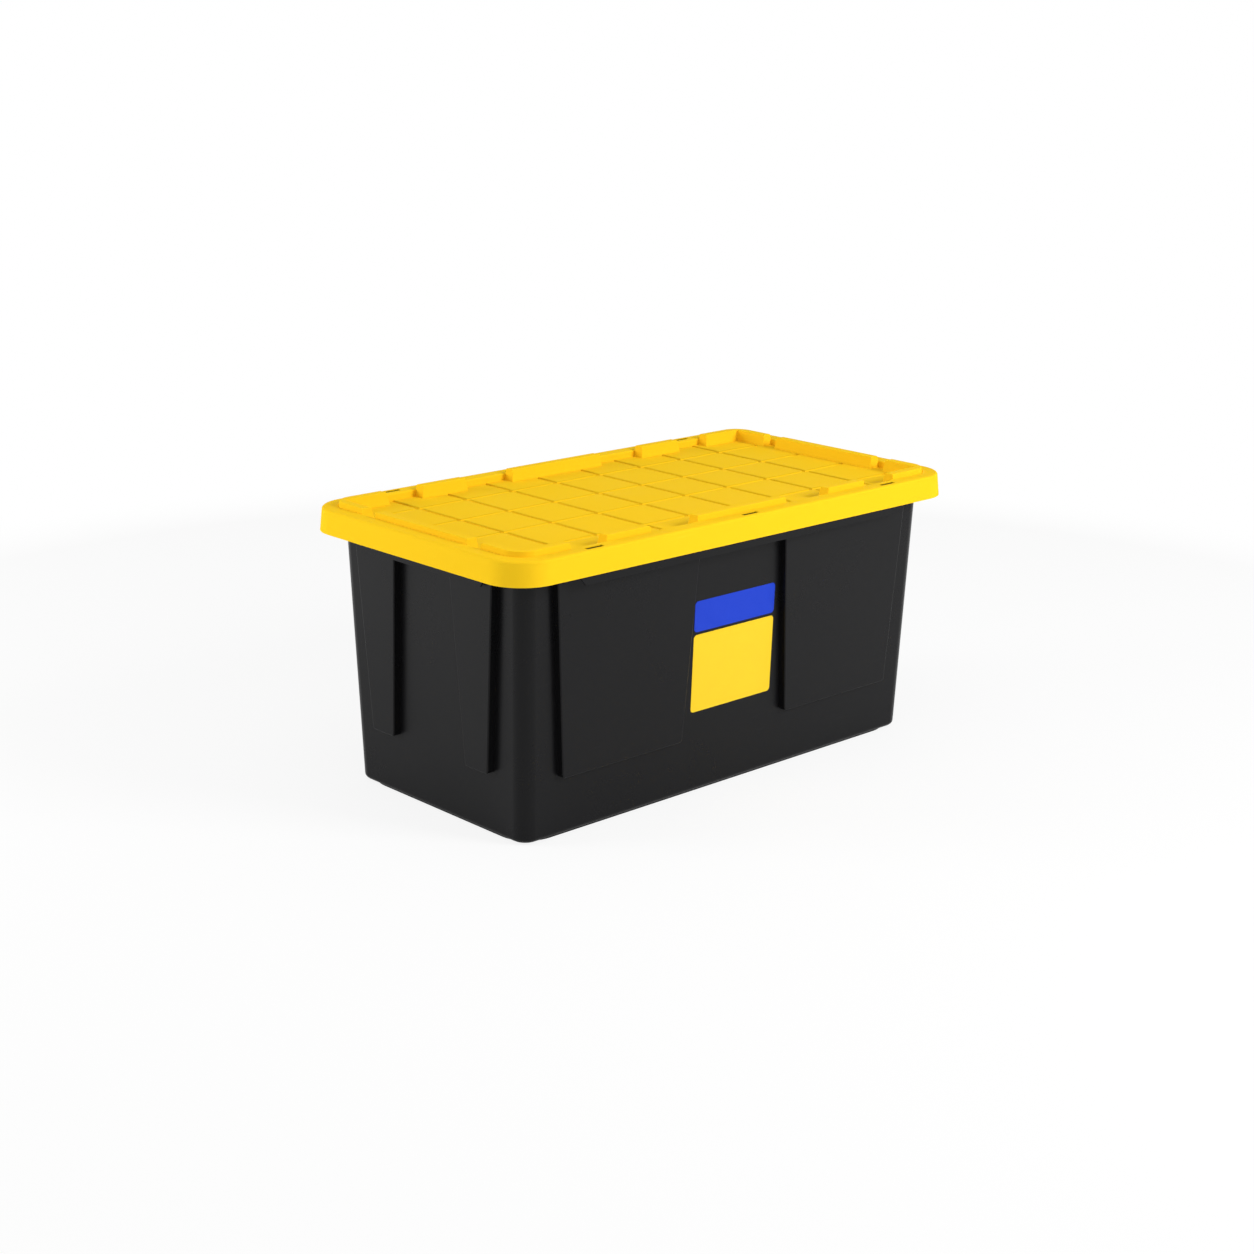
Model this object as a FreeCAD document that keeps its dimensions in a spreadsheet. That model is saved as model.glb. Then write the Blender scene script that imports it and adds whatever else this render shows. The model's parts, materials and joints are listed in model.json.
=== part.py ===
import FreeCAD, Part
import math
import os
import Sketcher

Vector = FreeCAD.Vector
doc = FreeCAD.newDocument("StorageBox")

# Driving dimensions in millimetres
sizes = {
    "lidLength": 1060, "lidWidth": 562, "lidCorner": 70, "skirtHeight": 41, "skirtFlare": 3,
    "lidWall": 3, "rimRound": 5, "trayDepth": 12.5, "bandWidth": 30, "mouthRound": 3,
    "ridgeBite": 2.5, "ridgeWidth": 24.5, "ridgeHeight": 9, "ridgeRound": 1.8, "ridgeLean": 3.4,
    "cornerLegLong": 111.5, "cornerLegWide": 97.5, "notchCorner": 73, "ridgeSide": 101, "notchMiddle": 104,
    "notchEnd": 29, "grooveWidth": 9, "grooveDepth": 3.5, "edgePadLong": 129.5, "edgePadWide": 78.5,
    "slotLength": 38, "slotWidth": 10, "slotCorner": 3, "slotInset": 13.5, "slotFromEnd": 172,
    "slotLip": 1.4, "slotMargin": 3,
    "rimTop": 491, "wallInsetLong": 46.6, "wallInsetWide": 39.8,
    "wallDraftLong": 13.9, "wallDraftWide": 17.7,
    "tubCorner": 28, "tubWall": 3, "floorThickness": 3.5, "innerRound": 5, "beadRound": 1.2,
    "footHeight": 2.5, "footInset": 8, "footCorner": 55, "footRound": 10,
    "panelDepth": 13.5, "panelBottom": 107.5, "panelEndLow": 73.5, "panelEndHigh": 60.4,
    "recessLow": 128, "recessHigh": 102,
    "ribDepth": 14.5, "ribBottom": 112.5, "ribEndLow": 73.6, "ribEndHigh": 59.2,
    "ribWidthLow": 58, "ribWidthHigh": 112, "reliefCorner": 6, "reliefRound": 2.5,
    "apronDrop": 52.5, "apronCornerDrop": 32.5, "apronEndLong": 146, "apronSlant": 16,
    "gripDrop": 57, "gripEndLow": 119, "gripEndHigh": 89,
    "lidGap": 1.5, "seatGap": 2, "ledgeGap": 0.5,
    "labelWidth": 196, "labelFieldHeight": 140, "labelHeaderHeight": 55, "labelSpacing": 5,
    "labelCorner": 7, "labelFilm": 0.4, "labelMiddle": 220.5,
}
columnGrooves = 8
rowGrooves = 4

sheet = doc.addObject("Spreadsheet::Sheet", "dims")
for row, (alias, size) in enumerate(sizes.items(), start=1):
    sheet.set("A%d" % row, alias)
    sheet.set("B%d" % row, str(size))
    sheet.setAlias("B%d" % row, alias)
doc.recompute()

# Heights and half sizes worked out from the driving dimensions
lidTop = "(dims.rimTop + dims.lidWall)"
skirtFoot = "(%s - dims.skirtHeight)" % lidTop
padTop = "(%s - dims.trayDepth)" % lidTop
trayUnder = "(%s - dims.grooveDepth - dims.lidWall)" % padTop
ridgeTop = "(%s + dims.ridgeHeight)" % lidTop
ledgeTop = "(%s - dims.ledgeGap)" % trayUnder
ledgeUnder = "(%s - dims.tubWall)" % ledgeTop
apronFoot = "(dims.rimTop - dims.apronDrop)"
floorTop = "(dims.footHeight + dims.floorThickness)"
flareSlope = "(dims.skirtFlare / dims.skirtHeight)"
lidTopLong = "(dims.lidLength / 2 - dims.skirtFlare)"
lidTopWide = "(dims.lidWidth / 2 - dims.skirtFlare)"
capInset = "(dims.lidWall - %s * dims.lidWall)" % flareSlope
trayLong = "(%s - dims.bandWidth)" % lidTopLong
trayWide = "(%s - dims.bandWidth)" % lidTopWide
trayCorner = "(dims.lidCorner - dims.skirtFlare - dims.bandWidth)"
beadOffset = "(dims.lidWall + dims.seatGap)"
ridgeLong = "(%s + dims.ridgeBite)" % trayLong
ridgeWide = "(%s + dims.ridgeBite)" % trayWide
columnPitch = "(2 * (%s - dims.edgePadLong) / %d)" % (trayLong, columnGrooves - 1)
rowPitch = "(2 * (%s - dims.edgePadWide) / %d)" % (trayWide, rowGrooves - 1)
mouthLong = "(dims.lidLength / 2 - dims.wallInsetLong)"
mouthWide = "(dims.lidWidth / 2 - dims.wallInsetWide)"
bothPlanes = ("YZ_Plane", "XZ_Plane")


def value(expression):
    result = sheet.evalExpression(expression)
    return float(getattr(result, "Value", result))


def originPart(body, role):
    return [part for part in body.Origin.OriginFeatures if part.Role == role][0]


def newBody(label):
    body = doc.addObject("PartDesign::Body", label)
    body.Label = label
    return body


def newSketch(body, name, height):
    sketch = body.newObject("Sketcher::SketchObject", name)
    sketch.AttachmentSupport = (originPart(body, "XY_Plane"), [""])
    sketch.MapMode = "FlatFace"
    sketch.setExpression("AttachmentOffset.Base.z", height)
    return sketch


def drive(sketch, kind, *places, to):
    index = sketch.addConstraint(Sketcher.Constraint(kind, *places, value(to)))
    sketch.setExpression("Constraints[%d]" % index, to)


def tie(sketch, kind, *places):
    sketch.addConstraint(Sketcher.Constraint(kind, *places))


# A construction point that holds the middle of a shape; a place at "0" lies on the axis
def markMiddle(sketch, xMiddle, yMiddle):
    point = sketch.addGeometry(Part.Point(Vector(value(xMiddle), value(yMiddle))), True)
    for kind, place, axis in (("DistanceX", xMiddle, -2), ("DistanceY", yMiddle, -1)):
        if place == "0":
            tie(sketch, "PointOnObject", point, 1, axis)
        else:
            drive(sketch, kind, -1, 1, point, 1, to=place)
    return point


# A rounded rectangle about a middle given by two expressions
def outline(body, name, height, length, width, radius, middle=("0", "0")):
    sketch = newSketch(body, name, height)
    a, b, r = value(length) / 2, value(width) / 2, value(radius)
    shift = Vector(value(middle[0]), value(middle[1]))
    for turn, (x, y) in enumerate(((a, b), (b, a), (a, b), (b, a))):
        spin = FreeCAD.Rotation(Vector(0, 0, 1), 90 * turn)
        start = shift + spin.multVec(Vector(r - x, -y))
        end = shift + spin.multVec(Vector(x - r, -y))
        centre = shift + spin.multVec(Vector(x - r, r - y))
        sketch.addGeometry(Part.LineSegment(start, end))
        circle = Part.Circle(centre, Vector(0, 0, 1), r)
        sketch.addGeometry(Part.ArcOfCircle(circle, (turn - 1) * math.pi / 2, turn * math.pi / 2))
    for item in range(8):
        tie(sketch, "Tangent", item, 2, (item + 1) % 8, 1)
    for item in (0, 4):
        tie(sketch, "Horizontal", item)
        tie(sketch, "Vertical", item + 2)
    for item in (1, 3, 5):
        tie(sketch, "Equal", item, item + 2)
    point = markMiddle(sketch, *middle)
    tie(sketch, "Symmetric", 0, 1, 4, 1, point, 1)
    drive(sketch, "DistanceX", 6, 1, 2, 1, to=length)
    drive(sketch, "DistanceY", 0, 1, 4, 1, to=width)
    drive(sketch, "Radius", 1, to=radius)
    return sketch


# A rectangle from one corner to the other
def addRectangle(sketch, xLow, xHigh, yLow, yHigh):
    x0, x1, y0, y1 = value(xLow), value(xHigh), value(yLow), value(yHigh)
    points = [Vector(x0, y0), Vector(x1, y0), Vector(x1, y1), Vector(x0, y1)]
    first = sketch.GeometryCount
    for item in range(4):
        sketch.addGeometry(Part.LineSegment(points[item], points[(item + 1) % 4]))
    for item in range(4):
        tie(sketch, "Coincident", first + item, 2, first + (item + 1) % 4, 1)
    for item in (0, 2):
        tie(sketch, "Horizontal", first + item)
        tie(sketch, "Vertical", first + item + 1)
    drive(sketch, "DistanceX", -1, 1, first, 1, to=xLow)
    drive(sketch, "DistanceY", -1, 1, first, 1, to=yLow)
    drive(sketch, "DistanceX", -1, 1, first + 1, 2, to=xHigh)
    drive(sketch, "DistanceY", -1, 1, first + 1, 2, to=yHigh)


# A rectangle about a middle point on or right of the axes; a middle at "0" lies on the axis
def addSlab(sketch, xMiddle, length, yMiddle, width):
    middle = Vector(value(xMiddle), value(yMiddle))
    a, b = value(length) / 2, value(width) / 2
    points = [middle + Vector(*corner) for corner in ((-a, -b), (a, -b), (a, b), (-a, b))]
    for item in range(4):
        sketch.addGeometry(Part.LineSegment(points[item], points[(item + 1) % 4]))
    for item in range(4):
        tie(sketch, "Coincident", item, 2, (item + 1) % 4, 1)
    for item in (0, 2):
        tie(sketch, "Horizontal", item)
        tie(sketch, "Vertical", item + 1)
    point = markMiddle(sketch, xMiddle, yMiddle)
    tie(sketch, "Symmetric", 0, 1, 2, 1, point, 1)
    drive(sketch, "DistanceX", 0, 1, 0, 2, to=length)
    drive(sketch, "DistanceY", 1, 1, 1, 2, to=width)


# An angle piece in the first quadrant with its outer corner rounded
def addAngle(sketch, legLong, innerLong, outerLong, legWide, innerWide, outerWide, radius):
    a, b, c, d = value(outerLong), value(outerWide), value(innerLong), value(innerWide)
    e, f, r = value(legLong), value(legWide), value(radius)
    points = [Vector(e, d), Vector(c, d), Vector(c, f), Vector(a, f), Vector(a, b - r)]
    first = sketch.GeometryCount
    for item in range(4):
        sketch.addGeometry(Part.LineSegment(points[item], points[item + 1]))
    circle = Part.Circle(Vector(a - r, b - r), Vector(0, 0, 1), r)
    sketch.addGeometry(Part.ArcOfCircle(circle, 0, math.pi / 2))
    sketch.addGeometry(Part.LineSegment(Vector(a - r, b), Vector(e, b)))
    sketch.addGeometry(Part.LineSegment(Vector(e, b), points[0]))
    for item in (0, 1, 2, 5, 6):
        tie(sketch, "Coincident", first + item, 2, first + (item + 1) % 7, 1)
    for item in (3, 4):
        tie(sketch, "Tangent", first + item, 2, first + item + 1, 1)
    for item in (0, 2, 5):
        tie(sketch, "Horizontal", first + item)
    for item in (1, 3, 6):
        tie(sketch, "Vertical", first + item)
    drive(sketch, "DistanceX", -1, 1, first, 1, to=legLong)
    drive(sketch, "DistanceY", -1, 1, first, 1, to=innerWide)
    drive(sketch, "DistanceX", -1, 1, first + 1, 1, to=innerLong)
    drive(sketch, "DistanceY", -1, 1, first + 2, 1, to=legWide)
    drive(sketch, "DistanceX", -1, 1, first + 3, 1, to=outerLong)
    drive(sketch, "DistanceY", -1, 1, first + 6, 1, to=outerWide)
    drive(sketch, "Radius", first + 4, to=radius)


def extrude(body, kind, name, sketch, length, reverse=False):
    doc.recompute()
    feature = body.newObject("PartDesign::%s" % kind, name)
    feature.Profile = sketch
    feature.setExpression("Length", length)
    feature.Reversed = reverse
    body.Tip = feature
    return feature


# A block with four sloping sides between two heights, its depth measured out from the given plane
def wedge(body, kind, name, role, heights, low, high):
    doc.recompute()
    feature = body.newObject("PartDesign::%sWedge" % kind, name)
    feature.AttachmentSupport = (originPart(body, role), [""])
    feature.MapMode = "FlatFace"
    names = ("Ymin", "Ymax", "Xmin", "Xmax", "Zmin", "Zmax", "X2min", "X2max", "Z2min", "Z2max")
    for side, size in zip(names, (*heights, *low, *high)):
        feature.setExpression(side, size)
    body.Tip = feature
    return feature


def fillet(body, name, base, radius, chosen):
    doc.recompute()
    edges = ["Edge%d" % number for number, edge in enumerate(base.Shape.Edges, start=1) if chosen(edge)]
    feature = body.newObject("PartDesign::Fillet", name)
    feature.Base = (base, edges)
    feature.setExpression("Radius", radius)
    body.Tip = feature
    return feature


def mirror(body, name, feature, roles):
    doc.recompute()
    copies = body.newObject("PartDesign::MultiTransform", name)
    copies.Originals = [feature]
    steps = []
    for role in roles:
        step = body.newObject("PartDesign::Mirrored", name + role[:2])
        step.MirrorPlane = (originPart(body, role), [""])
        steps.append(step)
    copies.Transformations = steps
    body.Tip = copies
    return copies


# An even row of copies along one axis, from the last place back to the first
def repeat(body, name, role, count, pitch):
    row = body.newObject("PartDesign::LinearPattern", name)
    row.Direction = (originPart(body, role), [""])
    row.Reversed = True
    row.setExpression("Length", "%d * %s" % (count - 1, pitch))
    row.Occurrences = count
    return row


def level(edge, height):
    box = edge.BoundBox
    return abs(box.ZMin - height) < 0.01 and abs(box.ZMax - height) < 0.01


# A wedge about the middle of the frame with its four corners rounded
def block(body, name, heights, lowHalf, highHalf, radius):
    low = ("-(%s)" % lowHalf[0], lowHalf[0], "-(%s)" % lowHalf[1], lowHalf[1])
    high = ("-(%s)" % highHalf[0], highHalf[0], "-(%s)" % highHalf[1], highHalf[1])
    feature = wedge(body, "Additive", name, "XZ_Plane", heights, low, high)
    z0, z1 = value(heights[0]), value(heights[1])
    x0, y0 = value(lowHalf[0]), value(lowHalf[1])
    x1, y1 = value(highHalf[0]), value(highHalf[1])

    def corner(edge):
        for vertex in edge.Vertexes:
            rise = (vertex.Point.z - z0) / (z1 - z0)
            offLong = abs(abs(vertex.Point.x) - x0 - (x1 - x0) * rise)
            offWide = abs(abs(vertex.Point.y) - y0 - (y1 - y0) * rise)
            if max(offLong, offWide) > 0.02:
                return False
        return edge.BoundBox.ZLength > 1

    return fillet(body, name + "Corners", feature, radius, corner)


# The hollow inside such a block, cut out between two rounded outlines
def hollow(body, name, heights, lowHalf, highHalf, radius):
    ends = []
    for place, height, half in (("Low", heights[0], lowHalf), ("High", heights[1], highHalf)):
        ends.append(outline(body, name + place, height, "2 * (%s)" % half[0], "2 * (%s)" % half[1], radius))
    doc.recompute()
    feature = body.newObject("PartDesign::SubtractiveLoft", name)
    feature.Profile = ends[0]
    feature.Sections = ends[1:]
    feature.Ruled = True
    body.Tip = feature
    return feature


# Six cuts in the rim, at the same places in the tub and the lid: a tie slot or the relief under one
def cutSlots(body, name, height, depth, margin="0", upward=False):
    along = "%s - dims.slotFromEnd" % lidTopLong
    across = "%s - dims.slotInset" % lidTopWide
    shape = ("dims.slotLength + 2 * %s" % margin, "dims.slotWidth + 2 * %s" % margin,
             "dims.slotCorner + %s" % margin)
    side = outline(body, name + "SideOutline", height, *shape, middle=(along, across))
    sideCut = extrude(body, "Pocket", name + "Side", side, depth, upward)
    mirror(body, name + "Sides", sideCut, bothPlanes)
    centre = outline(body, name + "MiddleOutline", height, *shape, middle=("0", across))
    centreCut = extrude(body, "Pocket", name + "Middle", centre, depth, upward)
    mirror(body, name + "Middles", centreCut, ("XZ_Plane",))


# The tub: turned-down apron, bead, ledge and grips, then walls with raised panels, then the hollows
def makeTub():
    body = newBody("tub")

    def rimHalf(height, skin):
        slope = "%s * (dims.rimTop - %s)" % (flareSlope, height)
        inset = "- %s - dims.lidGap - %s + %s" % (capInset, skin, slope)
        return "%s %s" % (lidTopLong, inset), "%s %s" % (lidTopWide, inset)

    rimUnder = "(dims.rimTop - dims.tubWall)"
    rimCorner = "dims.lidCorner - dims.lidWall - dims.lidGap"
    block(body, "Rim", (apronFoot, "dims.rimTop"), rimHalf(apronFoot, "0"),
          rimHalf("dims.rimTop", "0"), rimCorner)
    hollow(body, "RimHollow", (apronFoot, rimUnder), rimHalf(apronFoot, "dims.tubWall"),
           rimHalf(rimUnder, "dims.tubWall"), rimCorner + " - dims.tubWall")
    apronLong = "dims.lidLength / 2 - dims.apronEndLong"
    apronWide = ("-dims.lidWidth / 2", "dims.lidWidth / 2")
    apronCut = wedge(body, "Subtractive", "ApronCut", "XZ_Plane",
                     (apronFoot, "dims.rimTop - dims.apronCornerDrop"),
                     (apronLong, "dims.lidLength / 2", *apronWide),
                     (apronLong + " + dims.apronSlant", "dims.lidLength / 2", *apronWide))
    mirror(body, "ApronCuts", apronCut, ("YZ_Plane",))

    beadLong = "(%s + %s)" % (trayLong, beadOffset)
    beadWide = "(%s + %s)" % (trayWide, beadOffset)
    beadCorner = "(%s + %s)" % (trayCorner, beadOffset)
    ledge = outline(body, "LedgeOutline", ledgeUnder, "2 * (%s + dims.tubWall)" % beadLong,
                    "2 * (%s + dims.tubWall)" % beadWide, "%s + dims.tubWall" % beadCorner)
    extrude(body, "Pad", "Ledge", ledge, "dims.rimTop - %s" % ledgeUnder)

    # A plate to grip by under each end of the ledge
    gripEnds = []
    for end in ("gripEndLow", "gripEndHigh"):
        half = "(dims.lidWidth / 2 - dims.%s)" % end
        gripEnds.append(("-" + half, half, beadLong, beadLong + " + dims.tubWall"))
    grip = wedge(body, "Additive", "Grip", "YZ_Plane", ("dims.rimTop - dims.gripDrop", ledgeTop), *gripEnds)
    mirror(body, "Grips", grip, ("YZ_Plane",))

    def wallHalf(height, skin):
        drop = "(1 - %s / %s)" % (height, ledgeTop)
        return ("%s - dims.wallDraftLong * %s - %s" % (mouthLong, drop, skin),
                "%s - dims.wallDraftWide * %s - %s" % (mouthWide, drop, skin))

    block(body, "Wall", ("dims.footHeight", ledgeTop), wallHalf("dims.footHeight", "0"),
          wallHalf(ledgeTop, "0"), "dims.tubCorner")

    # A raised panel on the long wall or a rib on the end wall, drawn in by the given skin
    def relief(kind, label, skin):
        heights = ("(dims.%sBottom + %s)" % (kind, skin), ledgeTop)
        ends = []
        for height in heights:
            rise = "(%s - dims.%sBottom) / (%s - dims.%sBottom)" % (height, kind, ledgeTop, kind)

            def spread(name):
                return "(dims.%sLow + (dims.%sHigh - dims.%sLow) * %s)" % (name, name, name, rise)

            along, across = wallHalf(height, "0")
            if kind == "panel":
                half, far, near = across, "%s - %s" % (along, spread("panelEnd")), spread("recess")
            else:
                half, far = along, "%s - %s" % (across, spread("ribEnd"))
                near = "%s - %s" % (far, spread("ribWidth"))
            ends.append(("%s + %s" % (near, skin), "%s - %s" % (far, skin), "%s - 2 * dims.tubWall" % half,
                         "%s + dims.%sDepth - %s" % (half, kind, skin)))
        added = "Additive" if skin == "0" else "Subtractive"
        plane = "XZ_Plane" if kind == "panel" else "YZ_Plane"
        feature = wedge(body, added, label, plane, heights, *ends)
        return mirror(body, label + "s", feature, bothPlanes)

    relief("panel", "Panel", "0")
    raised = relief("rib", "Rib", "0")

    # The short edges where a side of a panel or rib meets its underside
    footEdges = [(value("dims.%sBottom" % kind), value("dims.%sDepth" % kind)) for kind in ("panel", "rib")]

    def footCorner(edge):
        reach = max(edge.BoundBox.XLength, edge.BoundBox.YLength)
        return any(level(edge, height) and abs(reach - depth) < 0.1 for height, depth in footEdges)

    # The edges round the face of a panel or rib
    under, rise = value(ledgeUnder), value(ledgeTop)
    low = [value(half) for half in wallHalf("0", "0")]
    high = [value(half) for half in wallHalf(ledgeTop, "0")]
    depths = (value("dims.ribDepth"), value("dims.panelDepth"))

    def onFace(point):
        over = [abs(place) - low[n] - (high[n] - low[n]) * point.z / rise - depths[n]
                for n, place in enumerate((point.x, point.y))]
        return abs(max(over)) < 0.02

    def faceEdge(edge):
        ends = [vertex.Point for vertex in edge.Vertexes]
        below = max(point.z for point in ends) < under + 0.01 and not level(edge, under)
        return below and all(onFace(point) for point in ends)

    raised = fillet(body, "ReliefCorners", raised, "dims.reliefCorner", footCorner)
    raised = fillet(body, "ReliefEdges", raised, "dims.reliefRound", faceEdge)
    underLevel = value("dims.footHeight")
    fillet(body, "FootEdge", raised, "dims.footRound", lambda edge: level(edge, underLevel))

    # The low foot that the box stands on, drawn in from the walls
    def footSketch(name, height, skin):
        along, across = wallHalf("dims.footHeight", "(dims.footInset + %s)" % skin)
        return outline(body, name, height, "2 * (%s)" % along, "2 * (%s)" % across,
                       "dims.footCorner - %s" % skin)

    extrude(body, "Pad", "Foot", footSketch("FootOutline", "0", "0"), floorTop)

    inside = hollow(body, "Hollow", (floorTop, ledgeTop),
                   wallHalf(floorTop, "dims.tubWall"), wallHalf(ledgeTop, "dims.tubWall"),
                   "dims.tubCorner - dims.tubWall")
    floorLevel = value(floorTop)
    fillet(body, "InnerEdge", inside, "dims.innerRound", lambda edge: level(edge, floorLevel))
    sunkFloor = footSketch("SunkFloorOutline", floorTop, "dims.tubWall")
    extrude(body, "Pocket", "SunkFloor", sunkFloor, "dims.footHeight")
    relief("panel", "PanelHollow", "dims.tubWall")
    relief("rib", "RibHollow", "dims.tubWall")
    step = outline(body, "BeadOutline", "dims.rimTop", "2 * %s" % beadLong, "2 * %s" % beadWide, beadCorner)
    stepped = extrude(body, "Pocket", "BeadStep", step, "dims.rimTop - %s" % ledgeTop)
    rimLevel = value("dims.rimTop")
    fillet(body, "BeadEdges", stepped, "dims.beadRound", lambda edge: level(edge, rimLevel))
    cutSlots(body, "RimSlot", "dims.rimTop", "2 * dims.tubWall")
    return body


# The lid: flared cap, sunk tray with grooves, hollow ridge pieces that frame the next box's base
def makeLid():
    body = newBody("lid")
    foot = ("dims.lidLength / 2", "dims.lidWidth / 2")
    whole = block(body, "Cap", (skirtFoot, lidTop), foot, (lidTopLong, lidTopWide), "dims.lidCorner")
    crown = value(lidTop)
    fillet(body, "CapEdge", whole, "dims.rimRound", lambda edge: level(edge, crown))
    hollow(body, "CapHollow", (skirtFoot, "dims.rimTop"), [half + " - dims.lidWall" for half in foot],
           ["%s - %s" % (half, capInset) for half in (lidTopLong, lidTopWide)],
           "dims.lidCorner - dims.lidWall")

    under = outline(body, "TrayUnderside", trayUnder, "2 * (%s + dims.lidWall)" % trayLong,
                    "2 * (%s + dims.lidWall)" % trayWide, "%s + dims.lidWall" % trayCorner)
    extrude(body, "Pad", "TrayBlock", under, "dims.rimTop + dims.lidWall / 2 - %s" % trayUnder)
    mouth = outline(body, "TrayMouth", lidTop, "2 * %s" % trayLong, "2 * %s" % trayWide, trayCorner)
    tray = extrude(body, "Pocket", "Tray", mouth, "dims.trayDepth")
    reachLong, reachWide = value(trayLong) + 0.1, value(trayWide) + 0.1

    def mouthEdge(edge):
        box = edge.BoundBox
        return level(edge, crown) and abs(box.Center.x) < reachLong and abs(box.Center.y) < reachWide

    fillet(body, "MouthEdge", tray, "dims.mouthRound", mouthEdge)

    # Grooves between the pads of the tray, spread evenly about the middle
    for name, count, pitch, role in (("Column", columnGrooves, columnPitch, "X_Axis"),
                                     ("Row", rowGrooves, rowPitch, "Y_Axis")):
        last = "%s * %d / 2" % (pitch, count - 1)
        line = newSketch(body, name + "Line", padTop)
        if role == "X_Axis":
            addSlab(line, last, "dims.grooveWidth", "0", "2 * %s" % trayWide)
        else:
            addSlab(line, "0", "2 * %s" % trayLong, last, "dims.grooveWidth")
        groove = extrude(body, "Pocket", name + "Groove", line, "dims.grooveDepth")
        doc.recompute()
        grooves = repeat(body, name + "Grooves", role, count, pitch)
        grooves.Originals = [groove]
        body.Tip = grooves

    # Shallow hollows under the whole pads keep the floor one wall thick
    columns, rows = columnGrooves - 1, rowGrooves - 1
    trim = "dims.grooveWidth - 2 * dims.lidWall"
    pad = newSketch(body, "PadUnderside", trayUnder)
    addSlab(pad, "%s * %d / 2" % (columnPitch, columns - 1), "%s - %s" % (columnPitch, trim),
            "%s * %d / 2" % (rowPitch, rows - 1), "%s - %s" % (rowPitch, trim))
    padHollow = extrude(body, "Pocket", "PadHollow", pad, "dims.grooveDepth", True)
    doc.recompute()
    padHollows = body.newObject("PartDesign::MultiTransform", "PadHollows")
    padHollows.Originals = [padHollow]
    padHollows.Transformations = [repeat(body, "PadColumns", "X_Axis", columns, columnPitch),
                                  repeat(body, "PadRows", "Y_Axis", rows, rowPitch)]
    body.Tip = padHollows

    # Where the ridge pieces round the tray begin and end, drawn in by the given skin
    def spans(skin):
        legLong = "%s - dims.cornerLegLong" % ridgeLong
        legWide = "%s - dims.cornerLegWide" % ridgeWide
        sideEnd = legLong + " - dims.notchCorner"
        sideStart = sideEnd + " - dims.ridgeSide"
        return {
            "long": ("%s - dims.ridgeWidth + %s" % (ridgeLong, skin), "%s - %s" % (ridgeLong, skin)),
            "wide": ("%s - dims.ridgeWidth + %s" % (ridgeWide, skin), "%s - %s" % (ridgeWide, skin)),
            "legs": ("%s + %s" % (legLong, skin), "%s + %s" % (legWide, skin)),
            "side": ("%s + %s" % (sideStart, skin), "%s - %s" % (sideEnd, skin)),
            "middle": "(%s - dims.notchMiddle - %s)" % (sideStart, skin),
            "end": "(%s - dims.notchEnd - %s)" % (legWide, skin),
        }

    def cornerPiece(sketch, skin):
        place = spans(skin)
        addAngle(sketch, place["legs"][0], *place["long"], place["legs"][1], *place["wide"],
                 "%s + dims.ridgeBite - %s" % (trayCorner, skin))

    # A quarter of the upright stems under the ridge pieces, or of the hollows inside them
    def stems(kind, name, top, skin):
        place = spans(skin)
        sketch = newSketch(body, name + "Lines", trayUnder)
        cornerPiece(sketch, skin)
        past = "-dims.ridgeWidth"
        addRectangle(sketch, *place["side"], *place["wide"])
        addRectangle(sketch, past, place["middle"], *place["wide"])
        addRectangle(sketch, *place["long"], past, place["end"])
        quarter = extrude(body, kind, name, sketch, "%s - %s" % (top, trayUnder), kind == "Pocket")
        mirror(body, name + "s", quarter, bothPlanes)

    stems("Pad", "Stem", padTop, "0")

    # The ridge pieces themselves, whose sides lean in towards the top
    heights = (padTop, ridgeTop)
    corners = []
    for name, height, skin in (("CornerFoot", padTop, "0"), ("CornerTop", ridgeTop, "dims.ridgeLean")):
        corners.append(newSketch(body, name, height))
        cornerPiece(corners[-1], skin)
    doc.recompute()
    corner = body.newObject("PartDesign::AdditiveLoft", "CornerRidge")
    corner.Profile = corners[0]
    corner.Sections = corners[1:]
    corner.Ruled = True
    body.Tip = corner
    mirror(body, "CornerRidges", corner, bothPlanes)
    low, high = spans("0"), spans("dims.ridgeLean")
    side = wedge(body, "Additive", "SideRidge", "XZ_Plane", heights,
                 (*low["side"], *low["wide"]), (*high["side"], *high["wide"]))
    mirror(body, "SideRidges", side, bothPlanes)
    middle = wedge(body, "Additive", "MiddleRidge", "XZ_Plane", heights,
                   ("-" + low["middle"], low["middle"], *low["wide"]),
                   ("-" + high["middle"], high["middle"], *high["wide"]))
    mirror(body, "MiddleRidges", middle, ("XZ_Plane",))
    end = wedge(body, "Additive", "EndRidge", "YZ_Plane", heights,
                ("-" + low["end"], low["end"], *low["long"]),
                ("-" + high["end"], high["end"], *high["long"]))
    raised = mirror(body, "EndRidges", end, ("YZ_Plane",))
    ridgeLevel = value(ridgeTop)
    fillet(body, "RidgeEdges", raised, "dims.ridgeRound", lambda edge: level(edge, ridgeLevel))
    stems("Pocket", "Core", "(%s - dims.lidWall)" % ridgeTop, "(dims.lidWall + dims.ridgeLean)")

    # The rim is thinner round each tie slot
    cutSlots(body, "SlotRelief", "dims.rimTop", "dims.lidWall - dims.slotLip", "dims.slotMargin", True)
    cutSlots(body, "LidSlot", lidTop, "2 * dims.lidWall")
    return body


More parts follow.
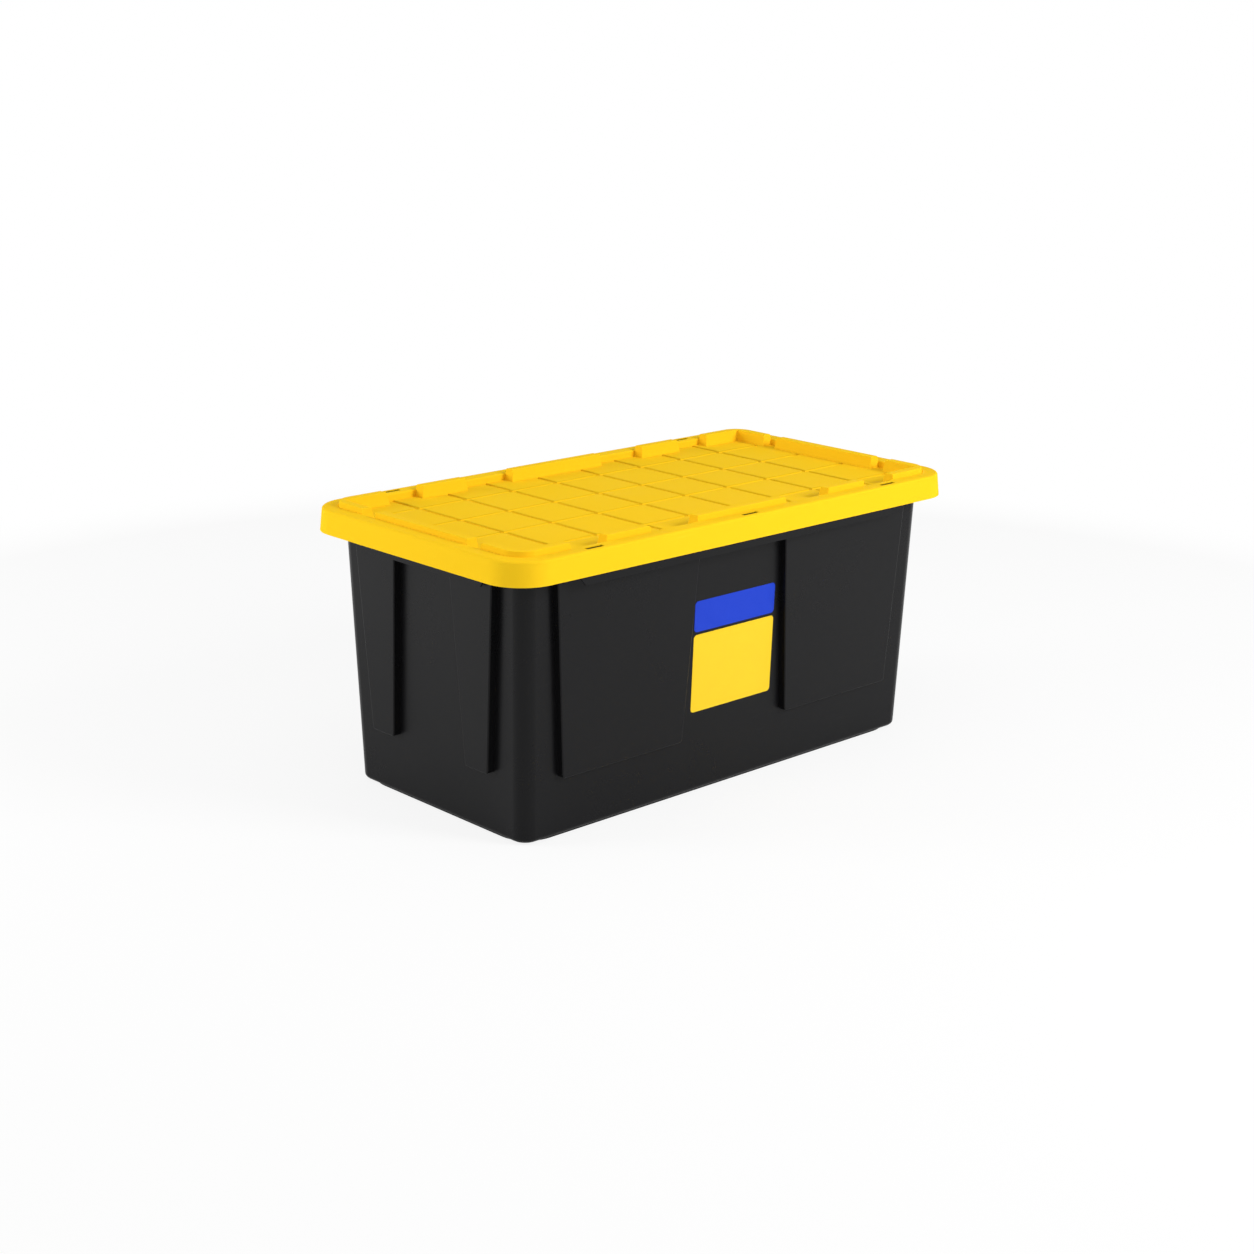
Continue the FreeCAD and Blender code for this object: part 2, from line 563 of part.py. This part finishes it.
# Two printed films on the flat wall between the front panels, a blank field and a header above it
def makeLabel(label, height, middle):
    body = newBody(label)
    body.Placement = FreeCAD.Placement(Vector(0, 0, 0), FreeCAD.Rotation(Vector(1, 0, 0), 90))
    lean = "dims.wallDraftWide / %s" % ledgeTop
    wallAt = "%s - dims.wallDraftWide + %s * dims.labelMiddle" % (mouthWide, lean)
    body.setExpression("Placement.Base.y", "-(%s)" % wallAt)
    body.setExpression("Placement.Base.z", "dims.labelMiddle")
    body.setExpression("Placement.Rotation.Angle", "90 deg + atan(%s)" % lean)
    edge = outline(body, label + "Outline", "0", "dims.labelWidth", height, "dims.labelCorner", middle)
    extrude(body, "Pad", label + "Film", edge, "dims.labelFilm")
    return body


headerMiddle = "dims.labelFieldHeight / 2 + dims.labelSpacing + dims.labelHeaderHeight / 2"
bodies = (makeTub(), makeLid(), makeLabel("label_field", "dims.labelFieldHeight", ("0", "0")),
          makeLabel("label_header", "dims.labelHeaderHeight", ("0", headerMiddle)))
doc.recompute()

for item in doc.Objects:
    if "Invalid" in item.State or "Error" in item.State:
        raise RuntimeError("%s is %s" % (item.Name, item.State))

os.makedirs("parts", exist_ok=True)
for body in bodies:
    shape = body.Shape
    if shape.isNull() or not shape.isValid() or len(shape.Solids) != 1:
        raise RuntimeError("%s is not one valid solid" % body.Label)
    box = shape.BoundBox
    print(body.Label, round(shape.Volume / 1000, 1), "cm3", "x %.2f to %.2f" % (box.XMin, box.XMax),
          "y %.2f to %.2f" % (box.YMin, box.YMax), "z %.2f to %.2f" % (box.ZMin, box.ZMax))
    shape.exportStep("parts/%s.step" % body.Label)
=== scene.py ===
import bpy, bmesh, json, math
from mathutils import Matrix, Vector


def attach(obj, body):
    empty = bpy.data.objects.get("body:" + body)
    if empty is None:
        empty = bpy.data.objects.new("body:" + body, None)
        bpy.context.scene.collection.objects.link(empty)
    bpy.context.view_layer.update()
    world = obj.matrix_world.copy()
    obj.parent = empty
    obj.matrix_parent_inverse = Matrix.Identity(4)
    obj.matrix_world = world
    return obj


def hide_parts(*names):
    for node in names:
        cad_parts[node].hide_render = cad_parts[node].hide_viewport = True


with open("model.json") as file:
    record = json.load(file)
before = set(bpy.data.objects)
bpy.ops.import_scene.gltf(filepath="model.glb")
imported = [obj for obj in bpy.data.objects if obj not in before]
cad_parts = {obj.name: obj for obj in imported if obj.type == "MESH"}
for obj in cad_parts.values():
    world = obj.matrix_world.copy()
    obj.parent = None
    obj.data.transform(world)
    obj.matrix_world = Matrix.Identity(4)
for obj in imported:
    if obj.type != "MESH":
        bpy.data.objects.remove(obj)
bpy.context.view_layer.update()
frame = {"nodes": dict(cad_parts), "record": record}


# Small helpers for shader trees
def newMaterial(name):
    mat = bpy.data.materials.new(name)
    mat.use_nodes = True
    tree = mat.node_tree
    shader = tree.nodes["Principled BSDF"]
    return mat, tree, shader


def addNode(tree, kind, x, y, **values):
    node = tree.nodes.new(kind)
    node.location = (x, y)
    for key, item in values.items():
        if key in node.inputs:
            node.inputs[key].default_value = item
        else:
            setattr(node, key, item)
    return node


def addRamp(tree, x, y, stops):
    ramp = addNode(tree, "ShaderNodeValToRGB", x, y)
    while len(ramp.color_ramp.elements) < len(stops):
        ramp.color_ramp.elements.new(0.5)
    for element, (place, level) in zip(ramp.color_ramp.elements, stops):
        element.position = place
        element.color = (level, level, level, 1)
    return ramp


# A socket takes either a plain value or a link
def feed(tree, socket, item):
    if isinstance(item, (int, float, tuple)):
        socket.default_value = item
    else:
        tree.links.new(item, socket)


def addMath(tree, x, y, operation, a, b):
    node = addNode(tree, "ShaderNodeMath", x, y, operation=operation)
    feed(tree, node.inputs[0], a)
    feed(tree, node.inputs[1], b)
    return node.outputs[0]


# Sockets 6 and 7 are the two colours of a Mix node, output 2 is its colour
def addMix(tree, x, y, factor, first, second):
    node = addNode(tree, "ShaderNodeMix", x, y, data_type="RGBA")
    feed(tree, node.inputs["Factor"], factor)
    feed(tree, node.inputs[6], first)
    feed(tree, node.inputs[7], second)
    return node.outputs[2]


def newGroup(name, inputs, outputs):
    group = bpy.data.node_groups.new(name, "ShaderNodeTree")
    for socketName, usual in inputs.items():
        socket = group.interface.new_socket(socketName, in_out="INPUT", socket_type="NodeSocketFloat")
        socket.default_value = usual
    for socketName in outputs:
        group.interface.new_socket(socketName, in_out="OUTPUT", socket_type="NodeSocketFloat")
    start = addNode(group, "NodeGroupInput", -1100, 0)
    end = addNode(group, "NodeGroupOutput", 600, 0)
    coord = addNode(group, "ShaderNodeTexCoord", -1100, 300)
    return group, start, end, coord.outputs["Object"]


def placeGroup(tree, group, x, y, values):
    node = addNode(tree, "ShaderNodeGroup", x, y, node_tree=group)
    for key, item in values.items():
        node.inputs[key].default_value = item
    return node


# Moulded grain: fine spark texture plus slow waves of a cooled wall
def buildGrainGroup():
    usual = {"Grain Scale": 900.0, "Wave Scale": 9.0, "Wave Share": 0.5}
    group, start, end, spot = newGroup("mouldGrain", usual, ("Height", "Speckle"))
    grain = addNode(group, "ShaderNodeTexNoise", -500, 200, Detail=3.0, Roughness=0.6)
    waves = addNode(group, "ShaderNodeTexNoise", -500, -150, Detail=1.0, Roughness=0.4)
    group.links.new(spot, grain.inputs["Vector"])
    group.links.new(spot, waves.inputs["Vector"])
    group.links.new(start.outputs["Grain Scale"], grain.inputs["Scale"])
    group.links.new(start.outputs["Wave Scale"], waves.inputs["Scale"])
    slow = addMath(group, -200, -150, "MULTIPLY", waves.outputs["Fac"], start.outputs["Wave Share"])
    height = addMath(group, 100, 0, "ADD", grain.outputs["Fac"], slow)
    group.links.new(height, end.inputs["Height"])
    group.links.new(grain.outputs["Fac"], end.inputs["Speckle"])
    return group


# Handling marks: short scuffs and rubbed patches, as masks from 0 to 1
def buildScuffGroup():
    usual = {"Patch Scale": 6.0, "Scratch Scale": 40.0}
    group, start, end, spot = newGroup("handlingMarks", usual, ("Rub", "Scratches"))
    patches = addNode(group, "ShaderNodeTexNoise", -600, 200, Detail=5.0, Roughness=0.62)
    stretch = addNode(group, "ShaderNodeMapping", -850, -150)
    stretch.inputs["Rotation"].default_value = (0.5, 0.3, 0.7)
    stretch.inputs["Scale"].default_value = (1.0, 14.0, 14.0)
    lines = addNode(group, "ShaderNodeTexNoise", -600, -150, Detail=2.0, Roughness=0.5)
    group.links.new(spot, patches.inputs["Vector"])
    group.links.new(spot, stretch.inputs["Vector"])
    group.links.new(stretch.outputs["Vector"], lines.inputs["Vector"])
    group.links.new(start.outputs["Patch Scale"], patches.inputs["Scale"])
    group.links.new(start.outputs["Scratch Scale"], lines.inputs["Scale"])
    rub = addRamp(group, -300, 200, ((0.42, 0.0), (0.72, 1.0)))
    thin = addRamp(group, -300, -150, ((0.66, 0.0), (0.74, 1.0)))
    group.links.new(patches.outputs["Fac"], rub.inputs["Fac"])
    group.links.new(lines.outputs["Fac"], thin.inputs["Fac"])
    group.links.new(rub.outputs["Color"], end.inputs["Rub"])
    marked = addMath(group, 200, -100, "MULTIPLY", thin.outputs["Color"], rub.outputs["Color"])
    group.links.new(marked, end.inputs["Scratches"])
    return group


grainGroup = buildGrainGroup()
scuffGroup = buildScuffGroup()
print("shader groups ready")


# The end of each material: colour, gloss and the grain as a bump
def finishSurface(tree, shader, finish, colour, glossMask, height):
    tree.links.new(colour, shader.inputs["Base Color"])
    span = finish["roughHigh"] - finish["roughLow"]
    gloss = addMath(tree, -600, 0, "MULTIPLY", glossMask, span)
    rough = addMath(tree, -300, 0, "ADD", gloss, finish["roughLow"])
    tree.links.new(rough, shader.inputs["Roughness"])
    shader.inputs["Specular IOR Level"].default_value = finish["specular"]
    bump = addNode(tree, "ShaderNodeBump", -300, -250, Strength=finish["bumpShare"], Distance=finish["bump"])
    tree.links.new(height, bump.inputs["Height"])
    tree.links.new(bump.outputs["Normal"], shader.inputs["Normal"])


# Moulded plastic: scratches pale the colour, rubbed patches dull the gloss
def makePlastic(name, finish):
    mat, tree, shader = newMaterial(name)
    grain = placeGroup(tree, grainGroup, -900, -200, finish["grain"])
    marks = placeGroup(tree, scuffGroup, -900, 200, finish["marks"])
    worn = addMath(tree, -600, 250, "MULTIPLY", marks.outputs["Scratches"], finish["wear"])
    colour = addMix(tree, -300, 250, worn, finish["colour"], finish["rubbed"])
    finishSurface(tree, shader, finish, colour, marks.outputs["Rub"], grain.outputs["Height"])
    return mat, shader


tubFinish = {
    "colour": (0.0062, 0.0062, 0.0068, 1),
    "rubbed": (0.016, 0.016, 0.017, 1),
    "wear": 0.5,
    "roughLow": 0.27,
    "roughHigh": 0.37,
    "specular": 0.145,
    "bump": 0.00018,
    "bumpShare": 0.6,
    "grain": {"Grain Scale": 520.0, "Wave Scale": 7.0, "Wave Share": 1.1},
    "marks": {"Patch Scale": 5.0, "Scratch Scale": 28.0},
}


def makeTubPlastic():
    return makePlastic("blackPolypropylene", tubFinish)[0]


lidFinish = {
    "colour": (0.89, 0.555, 0.014, 1),
    "rubbed": (0.91, 0.6, 0.03, 1),
    "wear": 0.6,
    "roughLow": 0.42,
    "roughHigh": 0.54,
    "specular": 0.002,
    "bump": 0.00014,
    "bumpShare": 0.5,
    "grain": {"Grain Scale": 600.0, "Wave Scale": 6.0, "Wave Share": 1.0},
    "marks": {"Patch Scale": 4.0, "Scratch Scale": 22.0},
    "glow": 0.06,
    "glowColour": (1.0, 0.6, 0.1),
    "glowDepth": 0.003,
}


# The yellow plastic lets a little light in under its surface
def makeLidPlastic():
    mat, shader = makePlastic("yellowPolypropylene", lidFinish)
    shader.inputs["Subsurface Weight"].default_value = lidFinish["glow"]
    shader.inputs["Subsurface Radius"].default_value = lidFinish["glowColour"]
    shader.inputs["Subsurface Scale"].default_value = lidFinish["glowDepth"]
    return mat


filmFinish = {
    "yellow": ((0.87, 0.58, 0.02, 1), (0.82, 0.53, 0.02, 1)),
    "blue": ((0.011, 0.047, 0.52, 1), (0.015, 0.056, 0.56, 1)),
    "mottle": 0.35,
    "roughLow": 0.36,
    "roughHigh": 0.48,
    "specular": 0.12,
    "bump": 0.00005,
    "bumpShare": 0.3,
    "grain": {"Grain Scale": 1500.0, "Wave Scale": 40.0, "Wave Share": 0.4},
    "marks": {"Patch Scale": 30.0, "Scratch Scale": 60.0},
}


# Label film: flat colour with faint ink mottle and a soft sheen
def makeFilm(name, inks):
    mat, tree, shader = newMaterial(name)
    grain = placeGroup(tree, grainGroup, -900, -200, filmFinish["grain"])
    marks = placeGroup(tree, scuffGroup, -900, 200, filmFinish["marks"])
    mottle = addMath(tree, -600, 250, "MULTIPLY", marks.outputs["Rub"], filmFinish["mottle"])
    colour = addMix(tree, -300, 250, mottle, inks[0], inks[1])
    finishSurface(tree, shader, filmFinish, colour, grain.outputs["Speckle"], grain.outputs["Height"])
    return mat


tubPlastic = makeTubPlastic()
lidPlastic = makeLidPlastic()
filmYellow = makeFilm("labelFilmYellow", filmFinish["yellow"])
filmBlue = makeFilm("labelFilmBlue", filmFinish["blue"])
print("materials ready")


def dress(node, mat):
    item = frame["nodes"][node]
    item.data.materials.clear()
    item.data.materials.append(mat)


# The moulded pieces get their small edge rounds on a merged copy of the solid
edgeRounds = {"merge": 0.00001, "flat": 0.3, "sharp": 28.0, "width": 0.0007, "segments": 2, "evenness": 90}

# The pads of the lid's tray end at the mount that the next box stands on
seatLevel = next(m["pos_m"][2] for m in frame["record"]["mounts"] if m["name"] == "stack_seat")
padRounds = {"level": seatLevel, "reach": 0.0002, "width": 0.0016, "segments": 3}


# The upper edges of the pads are rounded more than the rest
def onPadRim(edge):
    level = all(abs(v.co.z - padRounds["level"]) < padRounds["reach"] for v in edge.verts)
    return level and edge.is_convex


def roundedCopy(node, body, mat):
    bm = bmesh.new()
    bm.from_mesh(frame["nodes"][node].data)
    bmesh.ops.remove_doubles(bm, verts=bm.verts, dist=edgeRounds["merge"])
    flat = math.radians(edgeRounds["flat"])
    bmesh.ops.dissolve_limit(bm, angle_limit=flat, verts=bm.verts, edges=bm.edges)
    limit = math.radians(edgeRounds["sharp"])
    sharp = [e for e in bm.edges if len(e.link_faces) == 2 and e.calc_face_angle(0) > limit]
    pads = [e for e in sharp if node == "lid" and onPadRim(e)]
    padSet = set(pads)
    rest = [e for e in sharp if e not in padSet]
    for edges, look in ((rest, edgeRounds), (pads, padRounds)):
        live = [e for e in edges if e.is_valid]
        if live:
            bmesh.ops.bevel(bm, geom=live, offset=look["width"], offset_type="OFFSET", affect="EDGES",
                            segments=look["segments"], profile=0.5, material=-1, clamp_overlap=True)
    for face in bm.faces:
        face.smooth = True
    mesh = bpy.data.meshes.new(node + "Shell")
    bm.to_mesh(mesh)
    bm.free()
    mesh.materials.append(mat)
    piece = bpy.data.objects.new(node + "_shell", mesh)
    bpy.context.scene.collection.objects.link(piece)
    weighted = piece.modifiers.new("evenShading", "WEIGHTED_NORMAL")
    weighted.keep_sharp = True
    weighted.weight = edgeRounds["evenness"]
    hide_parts(node)
    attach(piece, body)
    print(node, "edges rounded:", len(sharp), "faces:", len(mesh.polygons))


roundedCopy("tub", "tub_body", tubPlastic)
roundedCopy("lid", "lid_body", lidPlastic)
dress("label_field", filmYellow)
dress("label_header", filmBlue)
print("pieces ready")


# Rays that end in the eye: straight from the camera, or by way of a gloss or a clear piece
def rayMasks(tree):
    path = addNode(tree, "ShaderNodeLightPath", -900, 300)
    direct = path.outputs["Is Camera Ray"]
    glossy = path.outputs["Is Glossy Ray"]
    through = path.outputs["Is Transmission Ray"]
    bent = addMath(tree, -600, 300, "MAXIMUM", glossy, through)
    seen = addMath(tree, -400, 300, "MAXIMUM", direct, bent)
    return direct, bent, seen


# Stage: pale floor that keeps a soft shadow and fades to white, white surroundings
floorLook = {
    "size": 80.0,
    "colour": (0.85, 0.85, 0.85, 1),
    "rough": 0.9,
    "specular": 0.1,
    "glow": 0.85,
    "mirrored": 0.1,
    "fadeFrom": 0.9,
    "fadeTo": 2.4,
    "sunk": 0.0004,
}


def makeFloorPaint():
    mat, tree, shader = newMaterial("paleFloor")
    shader.inputs["Base Color"].default_value = floorLook["colour"]
    shader.inputs["Roughness"].default_value = floorLook["rough"]
    shader.inputs["Specular IOR Level"].default_value = floorLook["specular"]
    direct, bent, seen = rayMasks(tree)
    coord = addNode(tree, "ShaderNodeTexCoord", -1100, -100)
    away = addNode(tree, "ShaderNodeVectorMath", -900, -100, operation="LENGTH")
    tree.links.new(coord.outputs["Object"], away.inputs[0])
    far = addNode(tree, "ShaderNodeMapRange", -700, -100, interpolation_type="SMOOTHSTEP")
    far.inputs["From Min"].default_value = floorLook["fadeFrom"]
    far.inputs["From Max"].default_value = floorLook["fadeTo"]
    tree.links.new(away.outputs["Value"], far.inputs["Value"])
    plain = addMath(tree, -400, 100, "MULTIPLY", direct, floorLook["glow"])
    mirrored = addMath(tree, -400, 200, "MULTIPLY", bent, floorLook["mirrored"])
    near = addMath(tree, -300, 200, "MAXIMUM", plain, mirrored)
    distant = addMath(tree, -400, -100, "MULTIPLY", seen, far.outputs["Result"])
    share = addMath(tree, -200, 100, "MAXIMUM", near, distant)
    glow = addNode(tree, "ShaderNodeEmission", -200, -300, Color=(1, 1, 1, 1), Strength=1.0)
    mix = addNode(tree, "ShaderNodeMixShader", 200, 100)
    tree.links.new(share, mix.inputs[0])
    tree.links.new(shader.outputs[0], mix.inputs[1])
    tree.links.new(glow.outputs[0], mix.inputs[2])
    tree.links.new(mix.outputs[0], tree.nodes["Material Output"].inputs["Surface"])
    return mat


def makeFloor():
    bm = bmesh.new()
    bmesh.ops.create_grid(bm, x_segments=2, y_segments=2, size=floorLook["size"] / 2)
    bmesh.ops.translate(bm, verts=bm.verts, vec=(0, 0, -floorLook["sunk"]))
    mesh = bpy.data.meshes.new("floor")
    bm.to_mesh(mesh)
    bm.free()
    mesh.materials.append(makeFloorPaint())
    floor = bpy.data.objects.new("floor", mesh)
    bpy.context.scene.collection.objects.link(floor)


studioLight = {
    "ambient": 0.42,
    "aim": (0, 0, 0.25),
    "lamps": (
        ("key", (1.5, -3.6, 2.4), 1.5, 144.0),
        ("fill", (-3.3, 2.1, 1.3), 1.5, 80.0),
        ("top", (-0.75, -0.35, 2.7), 1.6, 12.0),
    ),
}


# The surroundings look white, and light the box with less than that
def makeWorld():
    world = bpy.data.worlds.new("studio")
    bpy.context.scene.world = world
    world.use_nodes = True
    tree = world.node_tree
    back = tree.nodes["Background"]
    back.inputs["Color"].default_value = (1, 1, 1, 1)
    seen = rayMasks(tree)[2]
    extra = addMath(tree, -200, 300, "MULTIPLY", seen, 1 - studioLight["ambient"])
    strength = addMath(tree, 0, 300, "ADD", extra, studioLight["ambient"])
    tree.links.new(strength, back.inputs["Strength"])


def makeLamps():
    aim = Vector(studioLight["aim"])
    for name, place, size, power in studioLight["lamps"]:
        lamp = bpy.data.lights.new(name, "AREA")
        lamp.size = size
        lamp.energy = power
        item = bpy.data.objects.new(name, lamp)
        item.location = place
        item.rotation_euler = (aim - Vector(place)).to_track_quat("-Z", "Y").to_euler()
        bpy.context.scene.collection.objects.link(item)


cameraRig = {
    "lens": 62.02,
    "sensor": 36,
    "azimuth": -43.253,
    "elevation": 16.269,
    "distance": 3.9065,
    "target": (-0.01771, 0.01671, 0.2353),
    "roll": 0.573,
}


def makeCamera():
    az, el, roll = (math.radians(cameraRig[key]) for key in ("azimuth", "elevation", "roll"))
    back = Vector((math.sin(az) * math.cos(el), -math.cos(az) * math.cos(el), math.sin(el)))
    right = (-back).cross(Vector((0, 0, 1))).normalized()
    up = right.cross(-back)
    side = right * math.cos(roll) + up * math.sin(roll)
    top = up * math.cos(roll) - right * math.sin(roll)
    data = bpy.data.cameras.new("camera")
    data.lens = cameraRig["lens"]
    data.sensor_width = cameraRig["sensor"]
    camera = bpy.data.objects.new("camera", data)
    turn = Matrix((side, top, back)).transposed().to_4x4()
    place = Vector(cameraRig["target"]) + back * cameraRig["distance"]
    camera.matrix_world = Matrix.Translation(place) @ turn
    bpy.context.scene.collection.objects.link(camera)
    bpy.context.scene.camera = camera


makeFloor()
makeWorld()
makeLamps()
makeCamera()
bpy.context.scene.view_settings.view_transform = "Standard"
print("stage ready")
